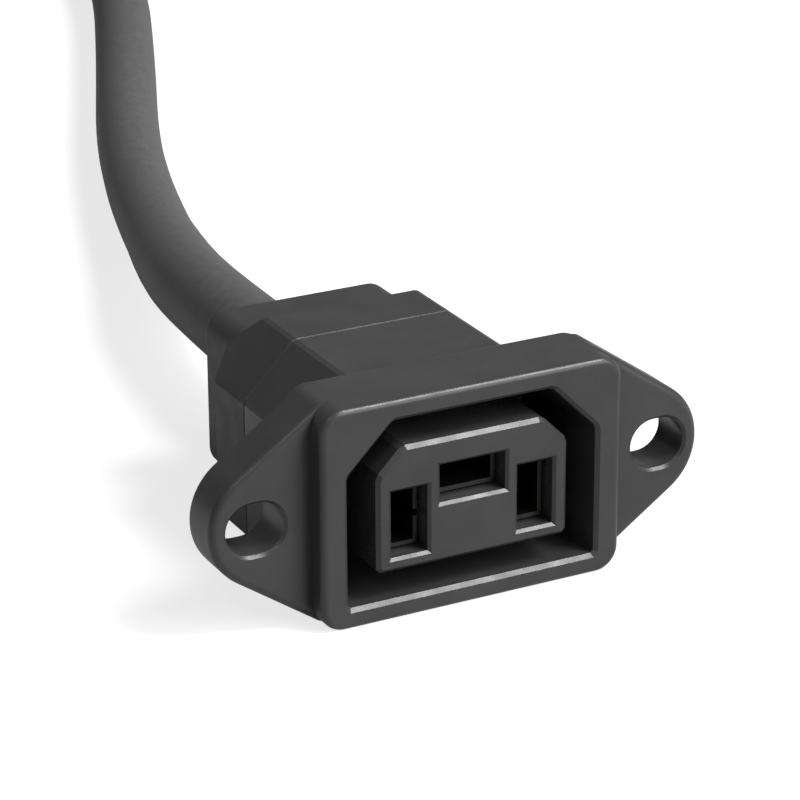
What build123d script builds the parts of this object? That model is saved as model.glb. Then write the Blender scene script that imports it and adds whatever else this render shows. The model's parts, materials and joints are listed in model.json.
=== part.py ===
"""Panel-mount power socket moulded on a round mains cord, with a pin plug at the cord's far end.

Millimetres. X runs across the socket, Y from its front face towards the cord, Z up. The origin is the
middle of the socket's own box on the surface that the flange stands on.
"""

import os
from math import cos, pi, radians, sin, tan

from build123d import *

os.makedirs("parts", exist_ok=True)

# Socket as a whole: where each stretch ends, counted back from the front face
flange_depth = 8.6
seam_depth = 21.8
shoulder_start = 28.8
shoulder_length = 3.0
body_depth = 40.1

# Flange block
flange_width = 33.3
flange_height = 23.2
flange_corner = 2.5
flange_round = 0.7

# Ears on both sides of the flange block
ear_step = 2.4
ear_thickness = 4.9
ear_tip_wall = 1.65
ear_tip_radius = 6.6
ear_root_corner = 1.8
ear_front_round = 0.8
ear_hole_pitch = 44.9
ear_hole_width = 6.2
ear_hole_height = 5.35
ear_hole_bevel = 0.3

# Moat round the core
moat_width = 27.6
moat_height = 18.8
moat_chamfer = 5.0
moat_corner = 0.3
front_lip_flat = 0.1  # least flat between the block's round edge and the moat's mouth
moat_mouth_bevel = min(0.4, (flange_height - moat_height) / 2 - flange_round - front_lip_flat)
insert_ledge = 0.2
insert_seat_depth = 15.0

# Six-sided body behind the flange
body_width = 29.2
body_height = 20.8
body_chamfer = 5.75
body_corner = 0.3
seam_bevel = 0.15

# Core that stands in the moat
core_width = 21.2
core_height = 13.0
core_chamfer = 2.8
core_recess = 0.2
core_corner = 0.4
core_bevel = 0.4
insert_clearance = 0.05

# Contact slots in the core
pole_pitch = 14.0
pole_slot_width = 4.0
pole_slot_height = 7.0
pole_drop = 1.6
earth_slot_width = 7.3
earth_slot_height = 4.0
earth_rise = 1.7
slot_mouth_bevel = 0.3

# Folded sheet contacts
contact_clearance = 0.25
contact_sheet = 0.45
contact_slit = 0.7
contact_start = 2.2
contact_length = 13.0
neck_width = 2.0
neck_length = 3.2
barrel_radius = 1.3
barrel_length = 4.5
barrel_slit = 0.5

# Wires inside the body
conductor_radius = 0.75
conductor_gap = 0.2
insulation_radius = 1.4
insulation_clearance = 0.05
wire_gap_to_barrel = 0.4
wire_spread = 1.75
wire_straight = 1.6

# Shoulder and rear block
shoulder_side_inset = 3.3
shoulder_top_inset = 3.2
block_width = 21.4
block_height = 17.6
block_corner = 2.3
block_edge_round = 0.8
cord_drop = 1.1
chamber_width = 18.6
chamber_height = 12.4
jacket_start = 34.6

# Cord and its sleeve
cord_diameter = 8.8
cord_clearance = 0.05
sleeve_root_diameter = 10.4
sleeve_diameter = 9.4
sleeve_taper = 14.0
sleeve_past_bend = 19.0
sleeve_collar_diameter = 12.0
sleeve_collar_length = 2.5

# Coil of the length that is put away behind the socket
coil_centre = (20.1, 273.2)
coil_inner_turn_radius = 43.2
coil_turn_step = 9.0
coil_edge_bevel = 3.0

# Plug at the far end: it fits the socket's moat and slots
shroud_clearance = 0.35
shroud_depth = 14.0
shroud_base = 5.0
pin_recess = 1.5
pin_thickness = 2.0
pin_breadth = 5.0
pin_tip_bevel = 0.6
grip_width = 29.0
grip_height = 22.0
grip_length = 22.0
grip_corner = 3.0
grip_edge_round = 1.2
grip_rib_count = 5
grip_rib_depth = 0.6
grip_rib_width = 1.6
plug_sleeve_length = 26.0
plug_sleeve_root_diameter = 12.5
plug_sleeve_tip_diameter = 10.0
plug_cord_pocket = 6.0

# Worked out from the sizes above
front_y = -body_depth / 2
axis_z = flange_height / 2
cord_z = axis_z - cord_drop
ear_tip_x = ear_hole_pitch / 2 + ear_hole_width / 2 + ear_tip_wall - ear_tip_radius
pole_z = axis_z - pole_drop
earth_z = axis_z + earth_rise
cord_radius = cord_diameter / 2
cord_bore_radius = cord_radius + cord_clearance
plug_z = grip_height / 2


def facing_front(depth):
    """Plane parallel to the front face, at a depth behind it, with its normal towards the viewer."""
    return Plane.XZ.offset(-(front_y + depth))


def grown_chamfer(leg, growth):
    """Leg of a 45 degree chamfer whose outline is moved outwards evenly."""
    return leg + growth * (2 - 2**0.5)


def six_sided(width, height, leg, corner):
    """Rectangle with its two upper corners cut at 45 degrees, every corner then nipped, centred."""
    with BuildSketch() as outline:
        Rectangle(width, height)
        chamfer(outline.vertices().group_by(Axis.Y)[-1], leg)
        chamfer(outline.vertices(), corner)
    return outline.sketch


def grown_moat(growth):
    """The moat's outer outline, moved outwards evenly."""
    leg = grown_chamfer(moat_chamfer, growth)
    return six_sided(moat_width + 2 * growth, moat_height + 2 * growth, leg, moat_corner)


core_outline = six_sided(core_width, core_height, core_chamfer, core_corner)
body_outline = six_sided(body_width, body_height, body_chamfer, body_corner)


# Front housing: ears, flange block and the front half of the six-sided body, open from end to end
with BuildPart() as front_housing:
    with BuildSketch(facing_front(ear_step)):
        with Locations((-ear_tip_x, axis_z), (ear_tip_x, axis_z)):
            Circle(ear_tip_radius)
        with Locations((0, axis_z)):
            RectangleRounded(flange_width, flange_height, ear_root_corner)
        make_hull()
    extrude(amount=-ear_thickness)
    fillet(front_housing.faces().sort_by(Axis.Y)[0].edges(), ear_front_round)
    with BuildSketch(facing_front(0)):
        with Locations((0, axis_z)):
            RectangleRounded(flange_width, flange_height, flange_corner)
    extrude(amount=-flange_depth)
    fillet(front_housing.faces().sort_by(Axis.Y)[0].edges(), flange_round)
    fillet(front_housing.faces().sort_by(Axis.Y)[-1].edges(), flange_round)
    with BuildSketch(facing_front(ear_step)):
        with Locations((-ear_hole_pitch / 2, axis_z), (ear_hole_pitch / 2, axis_z)):
            SlotOverall(ear_hole_width, ear_hole_height)
    extrude(amount=-ear_thickness, mode=Mode.SUBTRACT)
    ear_fronts = front_housing.faces().filter_by(Axis.Y).group_by(Axis.Y)[1]
    ear_mouths = [wire for face in ear_fronts for wire in face.inner_wires()]
    chamfer([edge for wire in ear_mouths for edge in wire.edges()], ear_hole_bevel)
    with BuildSketch(facing_front(flange_depth)):
        with Locations((0, axis_z)):
            add(body_outline)
    extrude(amount=-(seam_depth - flange_depth))
    chamfer(front_housing.faces().sort_by(Axis.Y)[-1].edges(), seam_bevel)
    with BuildSketch(facing_front(0)):
        with Locations((0, axis_z)):
            add(grown_moat(0))
    extrude(amount=-seam_depth, mode=Mode.SUBTRACT)
    with BuildSketch(facing_front(insert_seat_depth)):
        with Locations((0, axis_z)):
            add(grown_moat(insert_ledge))
    extrude(amount=-(seam_depth - insert_seat_depth), mode=Mode.SUBTRACT)
    chamfer(front_housing.faces().sort_by(Axis.Y)[0].inner_wires()[0].edges(), moat_mouth_bevel)
front_housing.part.label = "front_housing"


# Contact insert: the core with its slots, on a base that fills the body and is the moat's floor
with BuildPart() as contact_insert:
    with BuildSketch(facing_front(core_recess)):
        with Locations((0, axis_z)):
            add(core_outline)
    extrude(amount=-(insert_seat_depth - core_recess))
    chamfer(contact_insert.faces().sort_by(Axis.Y)[0].edges(), core_bevel)
    with BuildSketch(facing_front(insert_seat_depth)):
        with Locations((0, axis_z)):
            add(grown_moat(insert_ledge - insert_clearance))
    extrude(amount=-(seam_depth - insert_seat_depth))
    with BuildSketch(facing_front(0)):
        with Locations((-pole_pitch / 2, pole_z), (pole_pitch / 2, pole_z)):
            Rectangle(pole_slot_width, pole_slot_height)
        with Locations((0, earth_z)):
            Rectangle(earth_slot_width, earth_slot_height)
    extrude(amount=-seam_depth, mode=Mode.SUBTRACT)
    slot_mouths = contact_insert.faces().sort_by(Axis.Y)[0].inner_wires()
    chamfer([edge for wire in slot_mouths for edge in wire.edges()], slot_mouth_bevel)
contact_insert.part.label = "contact_insert"


def folded_contact(plane, slot_across, slot_along):
    """Sheet box with an open seam, a neck and a crimp barrel. The plane's normal points to the front."""
    across = slot_across - 2 * contact_clearance
    along = slot_along - 2 * contact_clearance
    barrel_x = barrel_radius - across / 2
    with BuildPart() as contact:
        with BuildSketch(plane):
            Rectangle(across, along)
            Rectangle(across - 2 * contact_sheet, along - 2 * contact_sheet, mode=Mode.SUBTRACT)
            with Locations((across / 2, 0)):
                Rectangle(4 * contact_sheet, contact_slit, mode=Mode.SUBTRACT)
        extrude(amount=-contact_length)
        with BuildSketch(plane.offset(-contact_length)):
            with Locations((-(across - contact_sheet) / 2, 0)):
                Rectangle(contact_sheet, neck_width)
        extrude(amount=-neck_length)
        with BuildSketch(plane.offset(-contact_length - neck_length)):
            with Locations((barrel_x, 0)):
                Circle(barrel_radius)
                Circle(barrel_radius - contact_sheet, mode=Mode.SUBTRACT)
            with Locations((barrel_x + barrel_radius, 0)):
                Rectangle(4 * contact_sheet, barrel_slit, mode=Mode.SUBTRACT)
        extrude(amount=-barrel_length)
    return contact.part


# Each contact's plane: the local x points from its neck wall to its open seam
contact_y = front_y + contact_start
live_plane = Plane(origin=(-pole_pitch / 2, contact_y, pole_z), x_dir=(1, 0, 0), z_dir=(0, -1, 0))
neutral_plane = Plane(origin=(pole_pitch / 2, contact_y, pole_z), x_dir=(-1, 0, 0), z_dir=(0, -1, 0))
earth_plane = Plane(origin=(0, contact_y, earth_z), x_dir=(0, 0, 1), z_dir=(0, -1, 0))

live_contact = folded_contact(live_plane, pole_slot_width, pole_slot_height)
neutral_contact = folded_contact(neutral_plane, pole_slot_width, pole_slot_height)
earth_contact = folded_contact(earth_plane, earth_slot_height, earth_slot_width)
live_contact.label = "live_contact"
neutral_contact.label = "neutral_contact"
earth_contact.label = "earth_contact"


def wire_route(plane, slot_across, angle):
    """Route from the crimp barrel to the cord's end, where the three wires lie round its middle."""
    barrel_x = barrel_radius - slot_across / 2 + contact_clearance
    start = plane.from_local_coords((barrel_x, 0, -contact_length - neck_length - conductor_gap))
    end_x = wire_spread * cos(radians(angle))
    end_z = cord_z + wire_spread * sin(radians(angle))
    end = Vector(end_x, front_y + jacket_start, end_z)
    first = Vector(start.X, start.Y + barrel_length + wire_straight, start.Z)
    last = Vector(end.X, end.Y - wire_straight, end.Z)
    with BuildLine() as route:
        Polyline(start, first, last, end)
    return route.wires()[0]


def round_sweep(route, radius, bore, trim):
    """Rod or tube along a route, its first stretch cut off where trim is over nothing."""
    with BuildPart() as swept:
        with BuildSketch(Plane(origin=route @ 0, z_dir=route % 0)):
            Circle(radius)
            if bore:
                Circle(bore, mode=Mode.SUBTRACT)
        sweep(path=route, transition=Transition.RIGHT)
        if trim:
            with BuildSketch(Plane(origin=route @ 0, z_dir=route % 0)):
                Circle(2 * radius)
            extrude(amount=trim, mode=Mode.SUBTRACT)
    return swept.part


wire_bore = conductor_radius + insulation_clearance
wire_trim = barrel_length + wire_gap_to_barrel
wires = {}
for pole, plane, slot_across, angle in (
    ("live", live_plane, pole_slot_width, 210),
    ("neutral", neutral_plane, pole_slot_width, 330),
    ("earth", earth_plane, earth_slot_height, 90),
):
    route = wire_route(plane, slot_across, angle)
    wires[pole + "_conductor"] = round_sweep(route, conductor_radius, 0, 0)
    wires[pole + "_wire"] = round_sweep(route, insulation_radius, wire_bore, wire_trim)
for name, wire in wires.items():
    wire.label = name


# Rear hood: the rear half of the body, a shoulder cut on its top and sides, and the rear block
with BuildPart() as rear_hood:
    block_low = cord_z - block_height / 2
    shoulder_high = axis_z + body_height / 2 - shoulder_top_inset
    with BuildSketch(facing_front(seam_depth)):
        with Locations((0, axis_z)):
            Rectangle(body_width, body_height)
    extrude(amount=-(shoulder_start - seam_depth))
    with BuildSketch(facing_front(shoulder_start)):
        with Locations((0, axis_z)):
            Rectangle(body_width, body_height)
    with BuildSketch(facing_front(shoulder_start + shoulder_length)):
        with Locations((0, (block_low + shoulder_high) / 2)):
            Rectangle(body_width - 2 * shoulder_side_inset, shoulder_high - block_low)
    loft()
    with BuildSketch(facing_front(seam_depth)):
        with Locations((0, axis_z)):
            add(body_outline)
    extrude(amount=-(shoulder_start + shoulder_length - seam_depth), mode=Mode.INTERSECT)
    chamfer(rear_hood.faces().sort_by(Axis.Y)[0].edges(), seam_bevel)
    with BuildSketch(facing_front(shoulder_start)):
        with Locations((0, cord_z)):
            RectangleRounded(block_width, block_height, block_corner)
    extrude(amount=-(body_depth - shoulder_start))
    fillet(rear_hood.faces().sort_by(Axis.Y)[-1].edges(), block_edge_round)
    with BuildSketch(facing_front(seam_depth)):
        with Locations((0, cord_z)):
            Rectangle(chamber_width, chamber_height)
    extrude(amount=-(jacket_start - seam_depth), mode=Mode.SUBTRACT)
    with BuildSketch(facing_front(jacket_start)):
        with Locations((0, cord_z)):
            Circle(sleeve_root_diameter / 2)
    extrude(amount=-(body_depth - jacket_start), mode=Mode.SUBTRACT)
    with BuildSketch(facing_front(jacket_start)):
        with Locations((0, cord_z)):
            Circle(sleeve_collar_diameter / 2)
    extrude(amount=-sleeve_collar_length, mode=Mode.SUBTRACT)
rear_hood.part.label = "rear_hood"


def corner_radii(points):
    """Radius for each corner of a cord's route: as large as the two runs beside it allow."""
    runs = [b - a for a, b in zip(points, points[1:])]
    radii = []
    for one, two in zip(runs, runs[1:]):
        turn = one.get_angle(two)
        radii.append(0.45 * min(one.length, two.length) / tan(radians(turn / 2)))
    return radii


def cord_tube(name, points):
    """Solid round tube along a route. Prints its radii, its length and how its volume compares."""
    radii = corner_radii(points)
    with BuildPart() as tube:
        with BuildLine() as line:
            FilletPolyline(*points, radius=radii)
        route = line.wires()[0]
        with BuildSketch(Plane(origin=route @ 0, z_dir=route % 0)):
            Circle(cord_radius)
        sweep(path=route)
    expected = route.length * pi * cord_radius**2
    print(name, "radii", [round(r) for r in radii], "length", round(route.length, 1))
    print(name, "volume over section times length", round(tube.part.volume / expected, 4))
    tube.part.label = name
    return tube.part


# Where the cord lies: out of the hood, a gentle turn, down to the surface and away to the coil
cord_route = [
    Vector(0, front_y + jacket_start, cord_z),
    Vector(0, 53, cord_z),
    Vector(12.4, 90.5, 6.2),
    Vector(27, 127.4, 4.4),
    Vector(41.4, 160.4, 4.4),
    Vector(54.6, 198.2, 4.4),
    Vector(62.9, 230.5, 4.4),
]
cord_run = cord_tube("cord_run", cord_route)

# From the coil's upper layer down to the plug's height
tail_route = [
    Vector(-32.1, 242.7, 13.2),
    Vector(-32.1, 224.4, plug_z),
    Vector(-32.1, 208.4, plug_z),
]
cord_tail = cord_tube("cord_tail", tail_route)


# Sleeve that the cord leaves the hood through: its root is held by a collar and narrows, then it bends along
with BuildPart() as cord_sleeve:
    back_y = front_y + body_depth
    collar_end = front_y + jacket_start + sleeve_collar_length
    with BuildSketch(Plane.XY.offset(cord_z)):
        with BuildLine():
            Polyline(
                (cord_bore_radius, front_y + jacket_start),
                (sleeve_collar_diameter / 2, front_y + jacket_start),
                (sleeve_collar_diameter / 2, collar_end),
                (sleeve_root_diameter / 2, collar_end),
                (sleeve_root_diameter / 2, back_y),
                (sleeve_diameter / 2, back_y + sleeve_taper),
                (cord_bore_radius, back_y + sleeve_taper),
                close=True,
            )
        make_face()
    revolve(axis=Axis((0, 0, cord_z), (0, 1, 0)))
    exit_point = Vector(0, back_y, cord_z)
    after_bend = cord_route[1] + (cord_route[2] - cord_route[1]).normalized() * sleeve_past_bend
    with BuildLine() as sleeve_line:
        FilletPolyline(exit_point, cord_route[1], after_bend, radius=corner_radii(cord_route)[0])
    with BuildSketch(Plane(origin=exit_point, z_dir=(0, 1, 0))):
        Circle(sleeve_diameter / 2)
        Circle(cord_bore_radius, mode=Mode.SUBTRACT)
    sweep(path=sleeve_line.wires()[0])
cord_sleeve.part.label = "cord_sleeve"


# Coil: one solid ring of the turns' outer shape, two turns side by side in two layers
with BuildPart() as cord_coil:
    ring_inner = coil_inner_turn_radius - cord_radius
    ring_outer = coil_inner_turn_radius + coil_turn_step + cord_radius
    ring_height = cord_diameter + coil_turn_step
    middle = (coil_centre[0], coil_centre[1], 0)
    with BuildSketch(Plane(origin=middle, x_dir=(1, 0, 0), z_dir=(0, -1, 0))) as ring_section:
        with Locations(((ring_inner + ring_outer) / 2, ring_height / 2)):
            Rectangle(ring_outer - ring_inner, ring_height)
        chamfer(ring_section.vertices(), coil_edge_bevel)
    revolve(axis=Axis(middle, (0, 0, 1)))
cord_coil.part.label = "cord_coil"


# Plug. Its plane's normal points out of its mouth, the way that the cord's tail runs
plug_way = (tail_route[-1] - tail_route[-2]).normalized()
plug_body = plug_sleeve_length + grip_length + shroud_base + shroud_depth
mouth_centre = tail_route[-1] + plug_way * (plug_body - plug_cord_pocket)
plug_mouth = Plane(origin=mouth_centre, x_dir=Vector(-plug_way.Y, plug_way.X, 0), z_dir=plug_way)
plug_axis = Axis(mouth_centre, plug_way)
shroud_outer = grown_moat(-shroud_clearance)
cavity_outline = six_sided(
    core_width + 2 * shroud_clearance,
    core_height + 2 * shroud_clearance,
    grown_chamfer(core_chamfer, shroud_clearance),
    core_corner,
)
pole_pin_spots = ((-pole_pitch / 2, -pole_drop), (pole_pitch / 2, -pole_drop))
earth_pin_spot = (0, earth_rise)

with BuildPart() as plug_shroud:
    with BuildSketch(plug_mouth):
        add(shroud_outer)
    extrude(amount=-(shroud_depth + shroud_base))
    with BuildSketch(plug_mouth):
        add(cavity_outline)
    extrude(amount=-shroud_depth, mode=Mode.SUBTRACT)
    with BuildSketch(plug_mouth.offset(-shroud_depth)):
        with Locations(*pole_pin_spots):
            Rectangle(pin_thickness, pin_breadth)
        with Locations(earth_pin_spot):
            Rectangle(pin_breadth, pin_thickness)
    extrude(amount=-shroud_base, mode=Mode.SUBTRACT)
plug_shroud.part.label = "plug_shroud"


def flat_pin(spot, width, height):
    """Flat pin from the back of the shroud's base to just inside its mouth."""
    with BuildPart() as pin:
        with BuildSketch(plug_mouth.offset(-pin_recess)):
            with Locations(spot):
                Rectangle(width, height)
        extrude(amount=-(shroud_depth + shroud_base - pin_recess))
        chamfer(pin.faces().sort_by(plug_axis)[-1].edges(), pin_tip_bevel)
    return pin.part


plug_neutral_pin = flat_pin(pole_pin_spots[0], pin_thickness, pin_breadth)
plug_live_pin = flat_pin(pole_pin_spots[1], pin_thickness, pin_breadth)
plug_earth_pin = flat_pin(earth_pin_spot, pin_breadth, pin_thickness)
plug_neutral_pin.label = "plug_neutral_pin"
plug_live_pin.label = "plug_live_pin"
plug_earth_pin.label = "plug_earth_pin"


with BuildPart() as plug_grip:
    grip_front = plug_mouth.offset(-(shroud_depth + shroud_base))
    with BuildSketch(grip_front):
        RectangleRounded(grip_width, grip_height, grip_corner)
    extrude(amount=-grip_length)
    fillet(plug_grip.faces().sort_by(plug_axis)[0].edges(), grip_edge_round)
    rib_step = grip_length / (grip_rib_count + 1)
    for side in (-1, 1):
        for k in range(grip_rib_count):
            with BuildSketch(grip_front.offset(-(k + 1) * rib_step)):
                with Locations((side * grip_width / 2, 0)):
                    Rectangle(2 * grip_rib_depth, grip_height - 2 * grip_corner)
            extrude(amount=grip_rib_width / 2, both=True, mode=Mode.SUBTRACT)
plug_grip.part.label = "plug_grip"


with BuildPart() as plug_sleeve:
    grip_back = shroud_depth + shroud_base + grip_length
    sleeve_end = grip_back + plug_sleeve_length
    with BuildSketch(Plane(origin=mouth_centre, x_dir=plug_mouth.x_dir, z_dir=(0, 0, 1))):
        with BuildLine():
            Polyline(
                (0, grip_back),
                (plug_sleeve_root_diameter / 2, grip_back),
                (plug_sleeve_tip_diameter / 2, sleeve_end),
                (cord_bore_radius, sleeve_end),
                (cord_bore_radius, sleeve_end - plug_cord_pocket),
                (0, sleeve_end - plug_cord_pocket),
                close=True,
            )
        make_face()
    revolve(axis=plug_axis)
plug_sleeve.part.label = "plug_sleeve"

pieces = [front_housing, contact_insert, rear_hood, cord_sleeve, cord_coil]
pieces += [plug_shroud, plug_grip, plug_sleeve]
solids = [piece.part for piece in pieces]
solids += [live_contact, neutral_contact, earth_contact, cord_run, cord_tail]
solids += [plug_live_pin, plug_neutral_pin, plug_earth_pin]
solids += list(wires.values())
for solid in solids:
    export_step(solid, "parts/" + solid.label + ".step")
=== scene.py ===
"""Looks of a panel-mount power socket on its mains cord. Metres, in the same frame as the solids:
X across the socket's ears, Y from its front face towards the cord, Z up from the surface it stands on."""

import json
from math import cos, radians, sin

import bmesh
import bpy
from mathutils import Matrix, Vector


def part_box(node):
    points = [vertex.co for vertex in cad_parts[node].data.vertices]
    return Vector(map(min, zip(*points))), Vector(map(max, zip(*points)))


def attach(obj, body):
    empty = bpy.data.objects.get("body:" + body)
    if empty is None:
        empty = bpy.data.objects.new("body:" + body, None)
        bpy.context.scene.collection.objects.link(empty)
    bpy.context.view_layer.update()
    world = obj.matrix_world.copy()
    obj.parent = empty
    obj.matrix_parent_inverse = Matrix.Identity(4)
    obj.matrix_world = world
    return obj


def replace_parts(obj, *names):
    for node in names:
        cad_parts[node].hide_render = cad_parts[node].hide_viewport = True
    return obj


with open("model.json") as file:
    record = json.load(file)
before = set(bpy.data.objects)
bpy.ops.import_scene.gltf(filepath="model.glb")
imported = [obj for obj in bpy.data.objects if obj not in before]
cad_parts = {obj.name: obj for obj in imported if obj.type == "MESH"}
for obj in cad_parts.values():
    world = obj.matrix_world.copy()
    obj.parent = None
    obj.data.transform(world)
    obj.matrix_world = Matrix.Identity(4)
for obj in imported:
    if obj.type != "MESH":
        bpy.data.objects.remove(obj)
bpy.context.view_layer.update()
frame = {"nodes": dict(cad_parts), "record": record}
nodes = frame["nodes"]
mm = 0.001

front_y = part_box("front_housing")[0].y
exit_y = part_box("rear_hood")[1].y
cord_z = 10.5 * mm
cord_diameter = 8.8 * mm
cord_radius = cord_diameter / 2

# Cord: the points of its route from inside the hood up to the coil, and from the coil to the plug
lying_z = cord_radius
plug_x = -32.1 * mm
plug_z = 11 * mm
jacket_start = front_y + 34.6 * mm
out_of_hood = [
    (0, jacket_start, cord_z),
    (0, 42.7 * mm, cord_z),
    (7.6 * mm, 73 * mm, 6.2 * mm),
    (20.3 * mm, 114.6 * mm, lying_z),
    (39.5 * mm, 160.4 * mm, lying_z),
    (54.6 * mm, 198.2 * mm, lying_z),
    (62.9 * mm, 230.5 * mm, lying_z),
]
down_to_plug = [
    (plug_x, 242.7 * mm, 13.2 * mm),
    (plug_x, 224.4 * mm, plug_z),
    (plug_x, 208.4 * mm, plug_z),
]

# Coil: its outer turn on the floor, its inner turn, and the second layer of turns on them.
# Radii and heights are given by the angle swept since the cord arrived, in degrees.
coil_middle = (20.1 * mm, 273.2 * mm)
coil_turn_step = 9 * mm
outer_turn = 52.2 * mm
inner_turn = outer_turn - coil_turn_step
second_layer_z = lying_z + coil_turn_step
coil_points_a_turn = 16
coil_start_angle = -14.43
coil_sweep = 914.43
coil_radii = [
    (0, outer_turn),
    (290, outer_turn),
    (365, inner_turn),
    (690, inner_turn),
    (860, outer_turn),
    (1000, outer_turn),
]
coil_heights = [(0, lying_z), (600, lying_z), (700, second_layer_z), (1000, second_layer_z)]

# Sleeve: its radius in mm at lengths in mm from inside the hood, where it fills the hood's hole, to where
# it ends in the cord's surface
sleeve_hidden = 1.5 * mm
sleeve_steps = 60
sleeve_sides = 48
sleeve_bore = cord_radius - 0.1 * mm
sleeve_radii = [
    (0, 5.15),
    (1.5, 5.15),
    (14, 4.86),
    (30, 4.78),
    (40, 4.77),
    (47, 4.7),
    (53, 4.59),
    (58, 4.47),
    (61.5, 4.34),
]

# Camera: where it stands round the socket, in degrees, and its distance, aim and lens
view_azimuth = radians(27.4663)
view_elevation = radians(22.2112)
view_roll = radians(-0.2644)
view_distance = 308.573 * mm
view_aim = Vector((0, front_y, 21.543 * mm))
view_slide = -7.269 * mm
view_lens = 144

# Surround: how strong it is in mirrors, on surfaces and to the eye, and the lamps with their place, the side
# of their square and their power
mirrored_share = 0.2
light_on_surfaces = 0.09
white_to_the_eye = 1.0
floor_colour = (0.5, 0.5, 0.5)
floor_glow = 0.75
floor_reach = 3
lamp_aim = (0, 0, 10 * mm)
lamps = {
    "key": ((0.62, -0.9, 0.62), 1.0, 13),
    "top": ((0.47, -0.42, 0.9), 0.36, 8.5),
    "edge": ((-0.5, -0.6, 0.77), 0.14, 0.6),
}


# Materials


def surface(name, colour, roughness, metallic=0.0, specular=0.5):
    """A material with its shader and the object's own coordinates: (material, tree, shader, coordinates)."""
    made = bpy.data.materials.new(name)
    made.use_nodes = True
    tree = made.node_tree
    shader = tree.nodes["Principled BSDF"]
    shader.inputs["Base Color"].default_value = (*colour, 1)
    shader.inputs["Roughness"].default_value = roughness
    shader.inputs["Metallic"].default_value = metallic
    shader.inputs["Specular IOR Level"].default_value = specular
    coordinates = tree.nodes.new("ShaderNodeTexCoord").outputs["Object"]
    return made, tree, shader, coordinates


def speckle(tree, coordinates, size, detail=3.0, stretch=(1, 1, 1)):
    """Noise whose lumps are about that size in metres, drawn out by stretch."""
    mapping = tree.nodes.new("ShaderNodeMapping")
    mapping.inputs["Scale"].default_value = [1 / factor for factor in stretch]
    tree.links.new(coordinates, mapping.inputs["Vector"])
    noise = tree.nodes.new("ShaderNodeTexNoise")
    noise.inputs["Scale"].default_value = 1 / size
    noise.inputs["Detail"].default_value = detail
    tree.links.new(mapping.outputs["Vector"], noise.inputs["Vector"])
    return noise.outputs["Fac"]


def spread(tree, noise, low, high, from_low=0.3, from_high=0.7):
    """Noise, which mostly lies between from_low and from_high, brought to run from low to high."""
    node = tree.nodes.new("ShaderNodeMapRange")
    for socket, number in zip(("From Min", "From Max", "To Min", "To Max"), (from_low, from_high, low, high)):
        node.inputs[socket].default_value = number
    tree.links.new(noise, node.inputs["Value"])
    return node.outputs["Result"]


def mottle_colour(tree, shader, colour, noise, amount):
    """The shader's colour, running by noise from a little darker to a little lighter."""
    node = tree.nodes.new("ShaderNodeMix")
    node.data_type = "RGBA"
    for socket, sign in (("A", -1), ("B", 1)):
        node.inputs[socket].default_value = (*[c * (1 + sign * amount) for c in colour], 1)
    tree.links.new(spread(tree, noise, low=0, high=1), node.inputs["Factor"])
    tree.links.new(node.outputs["Result"], shader.inputs["Base Color"])


def vary_gloss(tree, shader, noise, low, high):
    """The shader's roughness, running by noise from low to high."""
    tree.links.new(spread(tree, noise, low, high), shader.inputs["Roughness"])


def raise_bumps(tree, shader, height, strength, distance):
    """Bump on the shader from a height."""
    node = tree.nodes.new("ShaderNodeBump")
    node.inputs["Strength"].default_value = strength
    node.inputs["Distance"].default_value = distance
    tree.links.new(height, node.inputs["Height"])
    tree.links.new(node.outputs["Normal"], shader.inputs["Normal"])


def moulded_plastic(name, colour, roughness, grain):
    """Satin moulded plastic: a fine eroded grain, faint clouds in its colour and gloss."""
    made, tree, shader, coordinates = surface(name, colour, roughness, specular=0.4)
    clouds = speckle(tree, coordinates, size=6 * mm)
    mottle_colour(tree, shader, colour, clouds, amount=0.12)
    gloss = speckle(tree, coordinates, size=2.5 * mm)
    vary_gloss(tree, shader, gloss, low=roughness - 0.05, high=roughness + 0.06)
    eroded = speckle(tree, coordinates, size=grain, detail=4.0)
    raise_bumps(tree, shader, eroded, strength=0.12, distance=0.012 * mm)
    return made


def extruded_jacket(name, colour, roughness):
    """Matt extruded jacket: a fine dry bloom in its colour and gloss, and a slightly rough skin."""
    made, tree, shader, coordinates = surface(name, colour, roughness, specular=0.35)
    bloom = speckle(tree, coordinates, size=1.1 * mm, detail=5.0)
    mottle_colour(tree, shader, colour, bloom, amount=0.16)
    vary_gloss(tree, shader, bloom, low=roughness - 0.06, high=roughness + 0.08)
    skin = speckle(tree, coordinates, size=0.5 * mm, detail=4.0)
    raise_bumps(tree, shader, skin, strength=0.3, distance=0.04 * mm)
    return made


def bright_metal(name, colour, roughness, scratch_stretch):
    """Metal with fine scratches along one way and a little tarnish."""
    made, tree, shader, coordinates = surface(name, colour, roughness, metallic=1.0)
    tarnish = speckle(tree, coordinates, size=1.5 * mm)
    mottle_colour(tree, shader, colour, tarnish, amount=0.15)
    scratches = speckle(tree, coordinates, size=0.08 * mm, detail=2.0, stretch=scratch_stretch)
    vary_gloss(tree, shader, scratches, low=roughness - 0.08, high=roughness + 0.12)
    raise_bumps(tree, shader, scratches, strength=0.15, distance=0.01 * mm)
    return made


def smooth_insulation(name, colour):
    """Smooth glossy insulation of an inner wire, slightly mottled."""
    made, tree, shader, coordinates = surface(name, colour, roughness=0.35)
    mottle = speckle(tree, coordinates, size=0.9 * mm)
    mottle_colour(tree, shader, colour, mottle, amount=0.1)
    raise_bumps(tree, shader, mottle, strength=0.1, distance=0.02 * mm)
    return made


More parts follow.
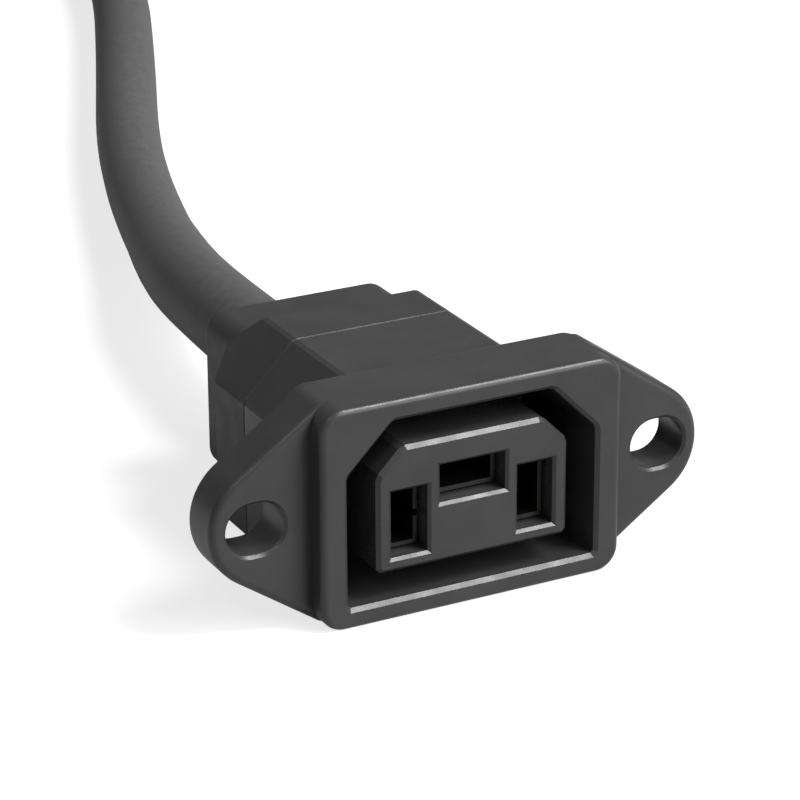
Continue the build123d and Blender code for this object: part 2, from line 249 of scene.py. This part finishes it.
along_y = (1, 20, 1)
along_x = (20, 1, 1)
materials = {
    "housing_plastic": moulded_plastic("housing_plastic", (0.044, 0.044, 0.045), 0.32, grain=0.35 * mm),
    "insert_plastic": moulded_plastic("insert_plastic", (0.043, 0.043, 0.044), 0.3, grain=0.35 * mm),
    "hood_plastic": moulded_plastic("hood_plastic", (0.046, 0.046, 0.047), 0.5, grain=0.3 * mm),
    "plug_plastic": moulded_plastic("plug_plastic", (0.046, 0.046, 0.047), 0.45, grain=0.35 * mm),
    "cord_jacket": extruded_jacket("cord_jacket", (0.11, 0.11, 0.111), 0.6),
    "sleeve_rubber": extruded_jacket("sleeve_rubber", (0.11, 0.11, 0.111), 0.6),
    # The contacts' metal is darkened nearly to black: painted shade for the dark slots they sit in, not the
    # colour of brass.
    "contact_brass": bright_metal("contact_brass", (0.07, 0.066, 0.06), 0.4, along_y),
    "pin_brass": bright_metal("pin_brass", (0.72, 0.66, 0.5), 0.28, along_x),
    "copper_strand": bright_metal("copper_strand", (0.8, 0.45, 0.3), 0.35, along_y),
    "live_insulation": smooth_insulation("live_insulation", (0.2, 0.09, 0.04)),
    "neutral_insulation": smooth_insulation("neutral_insulation", (0.03, 0.12, 0.42)),
    "earth_insulation": smooth_insulation("earth_insulation", (0.25, 0.5, 0.08)),
}


def finish_nodes():
    """Each solid that stays in view takes the material of its slot."""
    for row in frame["record"]["subparts"]:
        nodes[row["node"]].material_slots[0].material = materials[row["material_slot"]]


# Cord


def along(stops, where):
    """The value at a place between stops (place, value), run smoothly from each to the next."""
    for (place, value), (next_place, next_value) in zip(stops, stops[1:]):
        if where <= next_place:
            share = (where - place) / (next_place - place)
            return value + (next_value - value) * share * share * (3 - 2 * share)
    return stops[-1][1]


def coil_points():
    """The coil's turns: anticlockwise from where the cord arrives to where it leaves for the plug."""
    step = 360 / coil_points_a_turn
    inside = 0.75 + 0.25 * cos(radians(step))  # how far in from its points' circle the smooth line runs
    count = round(coil_sweep / step)
    points = []
    for k in range(count + 1):
        swept = coil_sweep * k / count
        angle = radians(coil_start_angle + swept)
        reach = along(coil_radii, swept) / inside
        x = coil_middle[0] + reach * cos(angle)
        y = coil_middle[1] + reach * sin(angle)
        points.append((x, y, along(coil_heights, swept)))
    return points


def smooth_curve(name, points):
    """A curve through space whose control points are these."""
    data = bpy.data.curves.new(name, "CURVE")
    data.dimensions = "3D"
    spline = data.splines.new("NURBS")
    spline.points.add(len(points) - 1)
    for point, place in zip(spline.points, points):
        point.co = (*place, 1)
    spline.order_u = 3
    spline.use_endpoint_u = True
    spline.resolution_u = 10
    made = bpy.data.objects.new(name, data)
    bpy.context.scene.collection.objects.link(made)
    return made


def centre_line(curve):
    """The points of a curve's own line."""
    bpy.context.view_layer.update()
    mesh = bpy.data.meshes.new_from_object(curve)
    points = [vertex.co.copy() for vertex in mesh.vertices]
    bpy.data.meshes.remove(mesh)
    return points


def lengths_along(line):
    """How far along a line each of its points is."""
    lengths = [0]
    for a, b in zip(line, line[1:]):
        lengths.append(lengths[-1] + (b - a).length)
    return lengths


def part_of_line(line, start, end, steps):
    """The stretch of a line between two lengths from its beginning, in even steps."""
    lengths = lengths_along(line)
    stretch = []
    k = 0
    for step in range(steps + 1):
        wanted = start + (end - start) * step / steps
        while lengths[k + 1] < wanted:
            k += 1
        share = (wanted - lengths[k]) / (lengths[k + 1] - lengths[k])
        stretch.append(line[k].lerp(line[k + 1], share))
    return stretch


def across(line, k):
    """The turn and place that bring a flat ring across a line at one of its points."""
    ahead = (line[min(k + 1, len(line) - 1)] - line[max(k - 1, 0)]).normalized()
    side = ahead.cross(Vector((0, 0, 1))).normalized()
    turn = Matrix((side, ahead.cross(side), ahead)).transposed().to_4x4()
    turn.translation = line[k]
    return turn


def tube_along(line, radii, sides, bore):
    """A bmesh tube along a line, with a radius at each of its points, closed at both ends round a bore."""
    bm = bmesh.new()
    loops = []
    for k, radius in enumerate(radii):
        ring = bmesh.ops.create_circle(bm, segments=sides, radius=radius, matrix=across(line, k))["verts"]
        loops.append([edge for edge in bm.edges if all(v in ring for v in edge.verts)])
    for one, two in zip(loops, loops[1:]):
        bmesh.ops.bridge_loops(bm, edges=one + two)
    for loop, middle in ((loops[0], line[0]), (loops[-1], line[-1])):
        rim = bmesh.ops.extrude_edge_only(bm, edges=loop)["geom"]
        for vertex in [piece for piece in rim if isinstance(piece, bmesh.types.BMVert)]:
            vertex.co = middle + (vertex.co - middle).normalized() * bore
    bmesh.ops.recalc_face_normals(bm, faces=bm.faces)
    return bm


def add_mesh(name, bm, slot):
    """A piece from a bmesh, finished with a slot's material and riding on the part."""
    mesh = bpy.data.meshes.new(name)
    bm.to_mesh(mesh)
    bm.free()
    made = bpy.data.objects.new(name, mesh)
    bpy.context.scene.collection.objects.link(made)
    mesh.materials.append(materials[slot])
    mesh.shade_smooth()
    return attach(made, "root")


def make_cord():
    """The whole cord as one curve, and its own line."""
    cord = smooth_curve("cord", out_of_hood + coil_points() + down_to_plug)
    line = centre_line(cord)
    cord.data.bevel_depth = cord_radius
    cord.data.bevel_resolution = 8
    cord.data.use_fill_caps = True
    cord.data.materials.append(materials["cord_jacket"])
    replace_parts(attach(cord, "root"), "cord_run", "cord_coil", "cord_tail")
    return cord, line


def make_sleeve(line):
    """The sleeve that bends and narrows with the cord."""
    start = exit_y - jacket_start - sleeve_hidden
    end = start + sleeve_radii[-1][0] * mm
    stretch = part_of_line(line, start, end, sleeve_steps)
    radii = [along(sleeve_radii, length / mm) * mm for length in lengths_along(stretch)]
    tube = tube_along(stretch, radii, sleeve_sides, sleeve_bore)
    sleeve = add_mesh("sleeve", tube, "sleeve_rubber")
    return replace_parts(sleeve, "cord_sleeve")


finish_nodes()
cord, cord_line = make_cord()
make_sleeve(cord_line)


# Camera, floor and light


def add_camera():
    """The camera at the photograph's viewing angle."""
    flat = cos(view_elevation)
    back = Vector((-sin(view_azimuth) * flat, -cos(view_azimuth) * flat, sin(view_elevation)))
    level = Vector((cos(view_azimuth), -sin(view_azimuth), 0))
    upright = back.cross(level)
    right = level * cos(view_roll) + upright * sin(view_roll)
    up = upright * cos(view_roll) - level * sin(view_roll)
    turn = Matrix((right, up, back)).transposed().to_4x4()
    turn.translation = view_aim + right * view_slide + back * view_distance
    data = bpy.data.cameras.new("camera")
    data.lens = view_lens
    data.sensor_width = 36
    data.clip_start = 0.01
    data.clip_end = 20
    camera = bpy.data.objects.new("camera", data)
    camera.matrix_world = turn
    bpy.context.scene.collection.objects.link(camera)
    bpy.context.scene.camera = camera


def seen_rays(tree):
    """1 for what the camera sees straight or through glass, a share for mirrors, 0 for light on surfaces."""
    path = tree.nodes.new("ShaderNodeLightPath")
    mirrored = tree.nodes.new("ShaderNodeMath")
    mirrored.operation = "MULTIPLY"
    mirrored.inputs[1].default_value = mirrored_share
    tree.links.new(path.outputs["Is Glossy Ray"], mirrored.inputs[0])
    total = mirrored.outputs[0]
    for name in ("Is Camera Ray", "Is Transmission Ray"):
        node = tree.nodes.new("ShaderNodeMath")
        node.operation = "MAXIMUM"
        tree.links.new(total, node.inputs[0])
        tree.links.new(path.outputs[name], node.inputs[1])
        total = node.outputs[0]
    return total


def add_floor():
    """Pale floor: white to the eye, and darker where the object keeps the light off."""
    bm = bmesh.new()
    bmesh.ops.create_grid(bm, x_segments=1, y_segments=1, size=floor_reach)
    mesh = bpy.data.meshes.new("floor")
    bm.to_mesh(mesh)
    bm.free()
    floor = bpy.data.objects.new("floor", mesh)
    bpy.context.scene.collection.objects.link(floor)
    made, tree, shader, _ = surface("floor_white", floor_colour, roughness=0.9, specular=0.0)
    glow = tree.nodes.new("ShaderNodeEmission")
    strength = tree.nodes.new("ShaderNodeMath")
    strength.operation = "MULTIPLY"
    strength.inputs[1].default_value = floor_glow
    tree.links.new(seen_rays(tree), strength.inputs[0])
    tree.links.new(strength.outputs[0], glow.inputs["Strength"])
    both = tree.nodes.new("ShaderNodeAddShader")
    tree.links.new(shader.outputs[0], both.inputs[0])
    tree.links.new(glow.outputs[0], both.inputs[1])
    tree.links.new(both.outputs[0], tree.nodes["Material Output"].inputs["Surface"])
    mesh.materials.append(made)


def add_world():
    """White to the eye, and a dim even light on the object."""
    world = bpy.data.worlds.new("studio")
    bpy.context.scene.world = world
    world.use_nodes = True
    tree = world.node_tree
    strength = tree.nodes.new("ShaderNodeMapRange")
    strength.inputs["To Min"].default_value = light_on_surfaces
    strength.inputs["To Max"].default_value = white_to_the_eye
    tree.links.new(seen_rays(tree), strength.inputs["Value"])
    background = tree.nodes["Background"]
    background.inputs["Color"].default_value = (1, 1, 1, 1)
    tree.links.new(strength.outputs["Result"], background.inputs["Strength"])


def add_lamp(name, place, side, power):
    """A soft square lamp at a place, turned to the socket."""
    data = bpy.data.lights.new(name, "AREA")
    data.shape = "SQUARE"
    data.size = side
    data.energy = power
    lamp = bpy.data.objects.new(name, data)
    lamp.location = place
    lamp.rotation_euler = (Vector(lamp_aim) - Vector(place)).to_track_quat("-Z", "Y").to_euler()
    bpy.context.scene.collection.objects.link(lamp)


add_camera()
add_floor()
add_world()
for name, (place, side, power) in lamps.items():
    add_lamp(name, place, side, power)
bpy.context.scene.view_settings.view_transform = "Standard"
